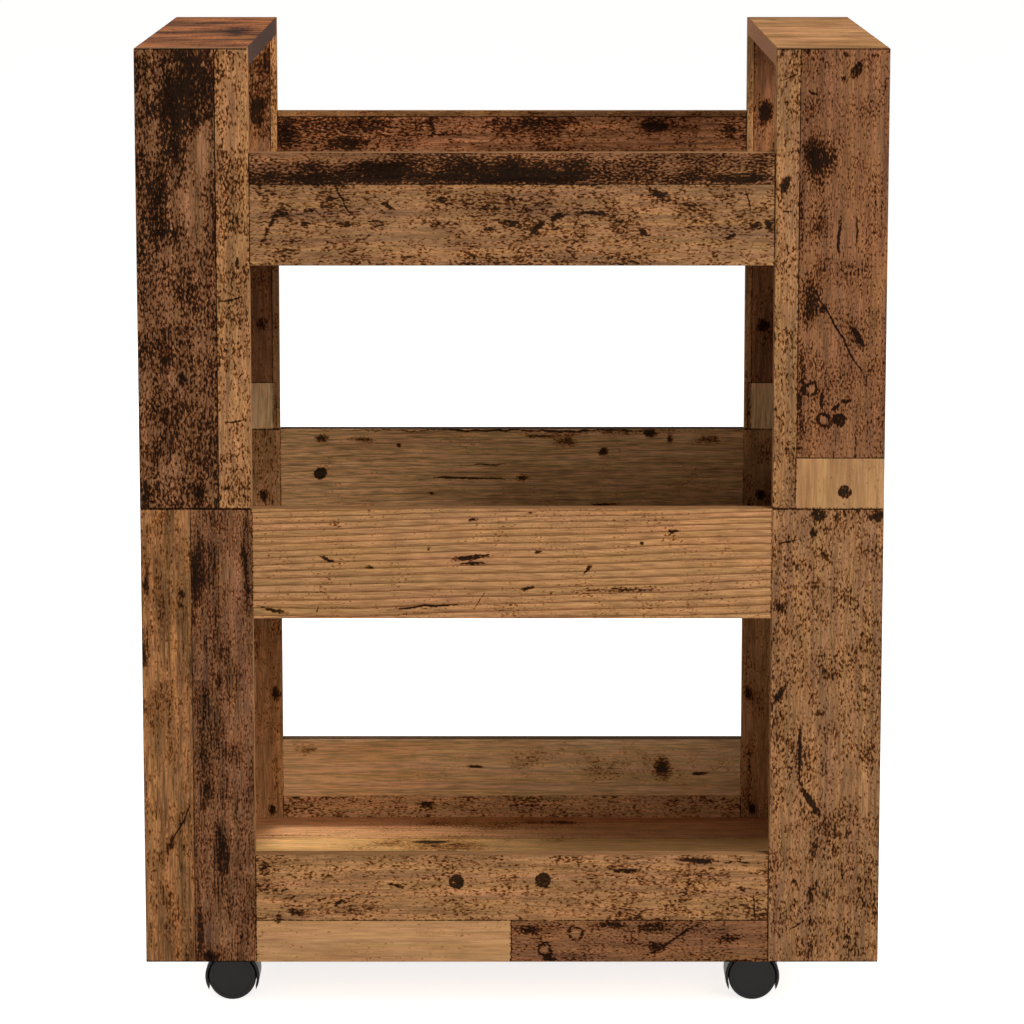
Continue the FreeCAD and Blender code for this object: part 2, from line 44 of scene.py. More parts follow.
# Lights: place and aim of each soft box in metres, its width and height, its beam in degrees, its watts.
# The narrow one behind the cart lights the left end of the lower deck through the open back.
CART_MIDDLE = (0.0, 0.0, 0.40)
DECK_LEFT = (-0.195, 0.155, 0.07)
OPEN_BEAM = 180.0
NARROW_BEAM = 18.0
SOFT_BOXES = {
    "front_right": ((2.70, -3.05, 2.05), CART_MIDDLE, (2.2, 1.5), OPEN_BEAM, 113.0),
    "front_low": ((0.95, -4.25, 1.00), CART_MIDDLE, (2.0, 1.2), OPEN_BEAM, 19.0),
    "front_left": ((-1.80, -3.90, 0.75), CART_MIDDLE, (1.2, 1.0), OPEN_BEAM, 15.0),
    "front_slant": ((2.29, -2.93, 2.37), CART_MIDDLE, (0.7, 0.5), OPEN_BEAM, 40.0),
    "right_high": ((2.34, -2.11, 2.86), CART_MIDDLE, (1.2, 1.2), OPEN_BEAM, 28.0),
    "rear_left": ((-2.2, 3.4, 1.9), CART_MIDDLE, (2.4, 1.6), OPEN_BEAM, 75.0),
    "rear_narrow": ((-0.13, 0.72, 1.18), DECK_LEFT, (0.2, 0.3), NARROW_BEAM, 0.14),
}
AMBIENT = 0.26
FLOOR_SIZE = 60.0
FLOOR_GLOW = 0.80
FLOOR_TONE = "#E4E2DF"

# Grain of the print, in millimetres: length along the grain, width across it. The flakes of a real print are
# finer and are drawn this coarse so that they show.
TONE_GRAIN = (110.0, 7.0)
FIBRE_GRAIN = (22.0, 1.5)
FLAKE_GRAIN = (3.0, 1.5)
TONE_DETAIL = 3
FIBRE_DETAIL = 3
FLAKE_DETAIL = 1
GRAIN_ROUGHNESS = 0.6
NOISE_MIDDLE = 0.5
BOARD_STEP = (613.0, 271.0, 97.0)
PLANK_STEP = (173.0, 47.0, 31.0)

# Tones and streaks: the stretch of noise that counts, what the fibres add to the tone, spread of hue
TONE_NOISE = (0.3, 0.7)
FIBRE_NOISE = (0.36, 0.64)
STREAK_REACH = (-0.38, 0.34)
HUE_SPREAD = (0.16, 0.26, 0.42)
HUE_FLOOR = (0.92, 0.87, 0.79)

# Marks: size and reach of their ragged outlines in millimetres, weight of flaky and clean patches,
# strength of the marks and the depth at which they stop
WARP_SIZE = 24.0
WARP_REACH = 9.0
WARP_DETAIL = 4
PATCH_WEIGHT = 2.3
MARK_GAIN = 1.5
MARK_CAP = 1.25

# Seams: width of the dark lines between planks and at the ends of a board in millimetres, their depth
SEAM_WIDTH = 0.9
END_LINE = 1.0
SEAM_DEPTH = 1.0

# Growth rings, in millimetres: spacing, how it widens away from the start, where they start, size and reach
# of their drift, slope along the grain, sharpness of the dark line, its tone
RING_SPACING = 3.4
RING_SPREAD = 0.85
RING_START = 95.0
RING_DRIFT = (220.0, 70.0)
RING_REACH = 12.0
RING_DETAIL = 1
RING_SLOPE = -0.025
RING_SHARPNESS = 3.5
LATE_WOOD = "#5C381E"

# Depth of the stain, from STAIN_FROM to STAIN_TO, to what it leaves of the wood's colour
STAIN_FROM = -0.4
STAIN_TO = 2.0
STAIN_STOPS = (
    (0.00, (1.00, 1.00, 1.00, 1)),
    (0.15, (0.88, 0.83, 0.77, 1)),
    (0.25, (0.56, 0.43, 0.32, 1)),
    (0.38, (0.25, 0.17, 0.12, 1)),
    (0.54, (0.050, 0.052, 0.060, 1)),
    (0.75, (0.070, 0.072, 0.085, 1)),
    (1.00, (0.040, 0.044, 0.055, 1)),
)

# Edge band: its tone, and how squarely a face looks out of the board to count as printed, so that the band
# covers the narrow faces alone or the broken corners too
EDGE_TONE = "#9C7048"
EDGES_ALONE = 0.6
WITH_CORNERS = 0.8

# Press plate: stain at the top and at the bottom of the relief, its strength and its depth in metres,
# roughness over the fibres and the faint shine of matt melamine
RELIEF_STAIN = (-0.2, 0.6)
RELIEF_STRENGTH = 0.35
RELIEF_DEPTH = 0.0004
MATT_NOISE = (0.3, 0.7)
MATT_ROUGHNESS = (0.65, 0.85)
MATT_SHINE = 0.01

# Hardware: pattern sizes in millimetres, relief strength and depth in metres, reach of the roughness.
# The grit of a real mould is finer and is drawn this coarse so that it shows.
CLOUD_SIZE = 9.0
CLOUD_DETAIL = 3
GRIT_SIZE = 0.5
GRIT_DETAIL = 2
GRIT_STRENGTH = 0.2
FINE_DEPTH = 0.0001
PLASTIC_REACH = 0.06
PLASTIC_SHINE = 0.25
MOTTLE_SIZE = 2.5
MOTTLE_DETAIL = 4
MOTTLE_STRENGTH = 0.1
METAL_REACH = 0.1
PORE_SIZE = 1.2
PORE_DETAIL = 4
PORE_STRENGTH = 0.2
PORE_DEPTH = 0.0002
BEECH_DARK = "#B88A5C"
BEECH_LIGHT = "#DDB88C"
BEECH_ROUGHNESS = 0.7

# Boards: axes along and across the grain and through the board, places before and past every board
LEG_AXES = "ZXY"
TRAY_AXES = "XZY"
DECK_AXES = "XYZ"
SIDE_AXES = "ZYX"
START = -1.0
END = 999.0

# Boards out of the photograph's sight: prints to draw from, plank widths in millimetres, number of stains,
# their reach, shape, turn and depth, number of cracks, their run, rise, half width and depth
MIXED_PRINTS = ("speckled_oak", "orange_oak", "speckled_oak", "brown_oak", "red_pine", "ringed_pine",
                "speckled_oak", "charred_pine", "plain_pine")
MIXED_WIDTHS = (70.0, 135.0)
MIXED_STAINS = 26
STAIN_REACH = (4, 24)
STAIN_SHAPE = (0.2, 0.6)
STAIN_TURN = (-12, 12)
STAIN_DEPTH = (0.7, 1.8)
MIXED_CRACKS = 7
CRACK_RUN = (20, 90)
CRACK_RISE = (-25, 25)
CRACK_HALF_WIDTH = 1.1
CRACK_DEPTH = 1.4
MIXED_SEED = 40

# Prints: darker and lighter tone of a plank, its stain level, weights of flakes, fibres, growth rings
# and streaks
Plank = namedtuple("Plank", "dark light level flake fibre rings streak")
PRINTS = {
    "speckled_oak": Plank("#7C583A", "#A4784E", -0.13, 3.9, 2.2, 0.0, 0.9),
    # The next print is speckled_oak drawn darker for the boards where the lamps fall strongest: painted
    # shade.
    "tan_oak": Plank("#705038", "#956D47", -0.12, 3.9, 2.4, 0.0, 0.9),
    "pale_oak": Plank("#CC9A64", "#FAC088", -0.12, 3.8, 2.2, 0.0, 0.8),
    "charred_pine": Plank("#60402A", "#8C6344", 0.31, 4.3, 3.0, 0.0, 1.1),
    "brown_oak": Plank("#5B402E", "#8E6344", 0.05, 2.7, 4.4, 0.0, 1.4),
    "orange_oak": Plank("#593D27", "#A37247", -0.22, 2.4, 4.0, 0.0, 1.4),
    "rear_oak": Plank("#795237", "#B57A50", -0.34, 3.0, 3.2, 0.0, 1.0),
    "worn_pine": Plank("#764A30", "#B07850", 0.11, 4.0, 2.8, 0.0, 1.4),
    "chestnut": Plank("#1C0A05", "#DE8C54", -0.34, 4.2, 4.4, 0.0, 1.9),
    "honey_oak": Plank("#97663A", "#E2A871", -0.80, 3.0, 2.4, 0.0, 1.2),
    # The next print is an oak drawn lighter for the rear legs inside the cart: painted light.
    "amber_oak": Plank("#A5764B", "#E0A56E", -0.34, 3.0, 3.2, 0.0, 1.0),
    "red_pine": Plank("#63422E", "#82593A", -0.22, 4.2, 2.4, 0.0, 0.9),
    "ringed_pine": Plank("#916A45", "#A4784F", -0.75, 4.0, 2.2, 0.95, 0.85),
    "patch_pine": Plank("#86603E", "#9E7850", -0.95, 4.0, 2.2, 0.10, 0.45),
    "plain_pine": Plank("#956C47", "#AF855A", -0.95, 4.0, 2.2, 0.20, 0.45),
    # The next two pine prints are drawn much lighter than the real boards, for the rear trays and the foot
    # of the upper rear legs: painted light over the shade inside the cart.
    "amber_pine": Plank("#DAA36A", "#FFC98C", -0.80, 2.4, 2.6, 0.40, 1.05),
    "bright_pine": Plank("#E8B67D", "#FFD59D", -0.95, 2.2, 2.2, 0.15, 0.75),
    # The next print is pine drawn lighter for the lower deck, low inside the cart: painted light.
    "deck_pine": Plank("#EEB26C", "#FFCC86", -0.95, 2.2, 2.2, 0.10, 0.70),
    "red_plank": Plank("#D8965E", "#FFC288", -0.80, 4.0, 2.6, 0.10, 0.70),
}


def linear(code):
    """sRGB hex code to linear RGBA."""
    channels = [int(code[i:i + 2], 16) / 255 for i in (1, 3, 5)]
    curve = [c / 12.92 if c <= 0.04045 else ((c + 0.055) / 1.055) ** 2.4 for c in channels]
    return (*curve, 1.0)


def add(tree, kind, inputs, out=0, **settings):
    """Adds a node with its settings, fills its inputs with values or links, gives one output or the node."""
    node = tree.nodes.new("ShaderNode" + kind)
    for name, value in settings.items():
        if name == "stops":
            ramp = node.color_ramp.elements
            for position, colour in value[2:]:
                ramp.new(position)
            for element, (position, colour) in zip(ramp, value):
                element.position = position
                element.color = colour
        else:
            setattr(node, name, value)
    for socket, value in inputs.items():
        if isinstance(value, bpy.types.NodeSocket):
            tree.links.new(value, node.inputs[socket])
        else:
            node.inputs[socket].default_value = value
    if out is None:
        return node
    return node.outputs[out]


def new_material(name):
    """An empty node material."""
    material = bpy.data.materials.new(name)
    material.use_nodes = True
    material.node_tree.nodes.clear()
    return material


def dress(node, material):
    """Gives a piece its one material."""
    node.data.materials.clear()
    node.data.materials.append(material)


def crack_to_stain(crack):
    """A crack from one point to another as a long thin stain."""
    along_1, across_1, along_2, across_2, half_width, depth = crack
    run = along_2 - along_1
    rise = across_2 - across_1
    half_length = math.hypot(run, rise) / 2
    turn = math.degrees(math.atan2(rise, run))
    return ((along_1 + along_2) / 2, (across_1 + across_2) / 2, half_length, half_width, turn, depth)


# What a board's planks give its print
Laid = namedtuple("Laid", "dark light weights lines offset seams")


def lay_planks(tree, planks, start, along, across):
    """Tones, weights and grain start of the planks, each later one over its rectangle, and their seams."""
    first = PRINTS[planks[0][0]]
    dark = linear(first.dark)
    light = linear(first.light)
    weights = (first.level, first.flake, first.fibre)
    lines = (first.rings, first.streak, 0.0)
    offset = start
    seams = []
    for index, (name, (from_along, to_along, from_across, to_across)) in enumerate(planks[1:], 1):
        style = PRINTS[name]
        spans = []
        for margin in (0.0, SEAM_WIDTH):
            within = []
            for where, begin, end in ((along, from_along, to_along), (across, from_across, to_across)):
                middle = (begin + end) / 2
                reach = (end - begin) / 2 + margin
                within.append(add(tree, "Math", {0: where, 1: middle, 2: reach}, operation="COMPARE"))
            spans.append(add(tree, "Math", {0: within[0], 1: within[1]}, operation="MULTIPLY"))
        here, around = spans
        seams.append(add(tree, "Math", {0: around, 1: here}, operation="SUBTRACT"))
        dark = add(tree, "MixRGB", {"Fac": here, "Color1": dark, "Color2": linear(style.dark)})
        light = add(tree, "MixRGB", {"Fac": here, "Color1": light, "Color2": linear(style.light)})
        weights = add(tree, "Mix", {0: here, 4: weights, 5: (style.level, style.flake, style.fibre)}, out=1,
                      data_type="VECTOR")
        lines = add(tree, "Mix", {0: here, 4: lines, 5: (style.rings, style.streak, 0.0)}, out=1,
                    data_type="VECTOR")
        step = start + Vector(PLANK_STEP) * index
        offset = add(tree, "Mix", {0: here, 4: offset, 5: step}, out=1, data_type="VECTOR")
    return Laid(dark, light, weights, lines, offset, seams)


def draw_grain(tree, grain, tone_grain):
    """Broad tones, fine fibres and flakes: noise that is stretched along the grain."""
    fields = {}
    grains = (("tone", tone_grain, TONE_DETAIL), ("fibre", FIBRE_GRAIN, FIBRE_DETAIL),
              ("flake", FLAKE_GRAIN, FLAKE_DETAIL))
    for name, (length, width), detail in grains:
        pitch = (1 / length, 1 / width, 1 / width)
        stretch = add(tree, "VectorMath", {0: grain, 1: pitch}, operation="MULTIPLY")
        fields[name] = add(tree, "TexNoise", {"Vector": stretch, "Scale": 1.0, "Detail": detail,
                                              "Roughness": GRAIN_ROUGHNESS}, out=None).outputs
    return fields


def draw_marks(tree, marks, warp):
    """Depth of the stains, knots, nails and cracks, each fading from its middle to its outline."""
    marked = 0.0
    for along, across, half_length, half_width, turn, depth in marks:
        spot = add(tree, "Mapping", {"Vector": warp, "Location": (along, across, 0),
                                     "Rotation": (0, 0, math.radians(turn)),
                                     "Scale": (half_length, half_width, 1)}, vector_type="TEXTURE")
        fade = add(tree, "TexGradient", {"Vector": spot}, out="Fac", gradient_type="SPHERICAL")
        gain = depth * MARK_GAIN if depth > 0 else depth
        marked = add(tree, "Math", {0: fade, 1: gain, 2: marked}, operation="MULTIPLY_ADD")
    return marked


def draw_rings(tree, grain, along, across):
    """Growth rings: a drifting saw profile across the grain, highest at the late wood."""
    pitch = (1 / RING_DRIFT[0], 1 / RING_DRIFT[1], 0)
    stretch = add(tree, "VectorMath", {0: grain, 1: pitch}, operation="MULTIPLY")
    drift = add(tree, "TexNoise", {"Vector": stretch, "Scale": 1.0, "Detail": RING_DETAIL})
    tilt = add(tree, "Math", {0: along, 1: RING_SLOPE, 2: across}, operation="MULTIPLY_ADD")
    moved = add(tree, "Math", {0: drift, 1: RING_REACH, 2: tilt}, operation="MULTIPLY_ADD")
    reach = add(tree, "Math", {0: RING_START, 1: moved}, operation="SUBTRACT")
    steps = add(tree, "Math", {0: reach, 1: RING_SPACING}, operation="DIVIDE")
    size = add(tree, "Math", {0: steps}, operation="ABSOLUTE")
    count = add(tree, "Math", {0: size, 1: RING_SPREAD}, operation="POWER")
    saw = add(tree, "Math", {0: count}, operation="FRACT")
    return add(tree, "Math", {0: saw, 1: RING_SHARPNESS}, operation="POWER")


def aged_print(node_name, look, number):
    """Matt melamine board printed as worn planks: streaked grain, dark flakes, knots, nails and cracks."""
    low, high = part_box(node_name)
    axes = look["axes"]
    material = new_material("printed_melamine_" + node_name)
    tree = material.node_tree

    # Place on the board in millimetres: along the grain, across it, through the thickness
    space = add(tree, "TexCoord", {}, out=None).outputs
    shifted = add(tree, "VectorMath", {0: space["Object"], 1: low}, operation="SUBTRACT")
    scaled = add(tree, "VectorMath", {0: shifted, "Scale": PER_METRE}, operation="SCALE")
    parts = add(tree, "SeparateXYZ", {0: scaled}, out=None).outputs
    along, across, through = (parts[axis] for axis in axes)
    flat = add(tree, "CombineXYZ", {0: along, 1: across})
    place = add(tree, "CombineXYZ", {0: along, 1: across, 2: through})

    # Planks with dark seams, and a dark line at each end of the board
    laid = lay_planks(tree, look["planks"], Vector(BOARD_STEP) * number, along, across)
    grain = add(tree, "VectorMath", {0: place, 1: laid.offset})
    level, flake, fibre = add(tree, "SeparateXYZ", {0: laid.weights}, out=None).outputs
    rings, streak = add(tree, "SeparateXYZ", {0: laid.lines}, out=None).outputs[:2]
    half_length = (high - low)["XYZ".index(axes[0])] * PER_METRE / 2
    inside = add(tree, "Math", {0: along, 1: half_length, 2: half_length - END_LINE}, operation="COMPARE")
    ends = add(tree, "Math", {0: 1.0, 1: inside}, operation="SUBTRACT")

    # Stain of the flakes and fibres
    fields = draw_grain(tree, grain, look.get("tone", TONE_GRAIN))
    stain = level
    for name, weight in (("flake", flake), ("fibre", fibre)):
        centred = add(tree, "Math", {0: fields[name]["Fac"], 1: NOISE_MIDDLE}, operation="SUBTRACT")
        stain = add(tree, "Math", {0: centred, 1: weight, 2: stain}, operation="MULTIPLY_ADD")

    # More and fewer flakes in patches, then the seams, then the marks with ragged outlines
    ragged = add(tree, "TexNoise", {"Vector": grain, "Scale": 1 / WARP_SIZE, "Detail": WARP_DETAIL},
                 out="Color")
    centred = add(tree, "VectorMath", {0: ragged, 1: (NOISE_MIDDLE,) * 3}, operation="SUBTRACT")
    patch = add(tree, "SeparateXYZ", {0: centred}, out="Z")
    stain = add(tree, "Math", {0: patch, 1: PATCH_WEIGHT, 2: stain}, operation="MULTIPLY_ADD")
    for seam in (*laid.seams, ends):
        stain = add(tree, "Math", {0: seam, 1: SEAM_DEPTH, 2: stain}, operation="MULTIPLY_ADD")
    warp = add(tree, "VectorMath", {0: centred, 1: (WARP_REACH, WARP_REACH, 0), 2: flat},
               operation="MULTIPLY_ADD")
    marked = draw_marks(tree, look["stains"] + [crack_to_stain(crack) for crack in look["cracks"]], warp)
    room = add(tree, "Math", {0: MARK_CAP, 1: level}, operation="SUBTRACT")
    capped = add(tree, "Math", {0: marked, 1: room}, operation="MINIMUM")
    stain = add(tree, "Math", {0: stain, 1: capped})

    # Colour: tones and growth rings of the plank, then its streaks, its stain and its drifting hue
    spread = add(tree, "MapRange", {"Value": fields["tone"]["Fac"], "From Min": TONE_NOISE[0],
                                    "From Max": TONE_NOISE[1]})
    wood = add(tree, "MixRGB", {"Fac": spread, "Color1": laid.dark, "Color2": laid.light})
    if any(PRINTS[plank[0]].rings for plank in look["planks"]):
        line = draw_rings(tree, grain, along, across)
        late = add(tree, "Math", {0: line, 1: rings}, operation="MULTIPLY", use_clamp=True)
        wood = add(tree, "MixRGB", {"Fac": late, "Color1": wood, "Color2": linear(LATE_WOOD)})
    contrast = add(tree, "MapRange", {"Value": fields["fibre"]["Fac"], "From Min": FIBRE_NOISE[0],
                                      "From Max": FIBRE_NOISE[1], "To Min": STREAK_REACH[0],
                                      "To Max": STREAK_REACH[1]})
    shine = add(tree, "Math", {0: contrast, 1: streak, 2: 1.0}, operation="MULTIPLY_ADD")
    stage = add(tree, "MapRange", {"Value": stain, "From Min": STAIN_FROM, "From Max": STAIN_TO})
    left = add(tree, "ValToRGB", {"Fac": stage}, stops=STAIN_STOPS)
    hue = add(tree, "VectorMath", {0: fields["tone"]["Color"], 1: HUE_SPREAD, 2: HUE_FLOOR},
              operation="MULTIPLY_ADD")
    face = wood
    for layer in (shine, left, hue):
        face = add(tree, "MixRGB", {"Fac": 1.0, "Color1": face, "Color2": layer}, blend_type="MULTIPLY")

    # Edge band: a plain streaked tone on the narrow faces, and on some boards on the broken corners
    facing = add(tree, "SeparateXYZ", {0: space["Normal"]}, out=None).outputs[axes[2]]
    turned = add(tree, "Math", {0: facing}, operation="ABSOLUTE")
    band = add(tree, "Math", {0: turned, 1: look.get("band", EDGES_ALONE)}, operation="LESS_THAN")
    edge = linear(look.get("edge", EDGE_TONE))
    strip = add(tree, "MixRGB", {"Fac": 1.0, "Color1": edge, "Color2": shine}, blend_type="MULTIPLY")
    colour = add(tree, "MixRGB", {"Fac": band, "Color1": face, "Color2": strip})

    # Relief of the press plate: flakes and cracks lie a little lower, fibres are rougher
    height = add(tree, "MapRange", {"Value": stain, "From Min": RELIEF_STAIN[0], "From Max": RELIEF_STAIN[1],
                                    "To Min": 1.0, "To Max": 0.0})
    relief = add(tree, "Bump", {"Strength": RELIEF_STRENGTH, "Distance": RELIEF_DEPTH, "Height": height})
    rough = add(tree, "MapRange", {"Value": fields["fibre"]["Fac"], "From Min": MATT_NOISE[0],
                                   "From Max": MATT_NOISE[1], "To Min": MATT_ROUGHNESS[0],
                                   "To Max": MATT_ROUGHNESS[1]})
    shader = add(tree, "BsdfPrincipled", {"Base Color": colour, "Roughness": rough, "Normal": relief,
                                          "Specular IOR Level": MATT_SHINE})
    add(tree, "OutputMaterial", {"Surface": shader}, out=None)
    return material


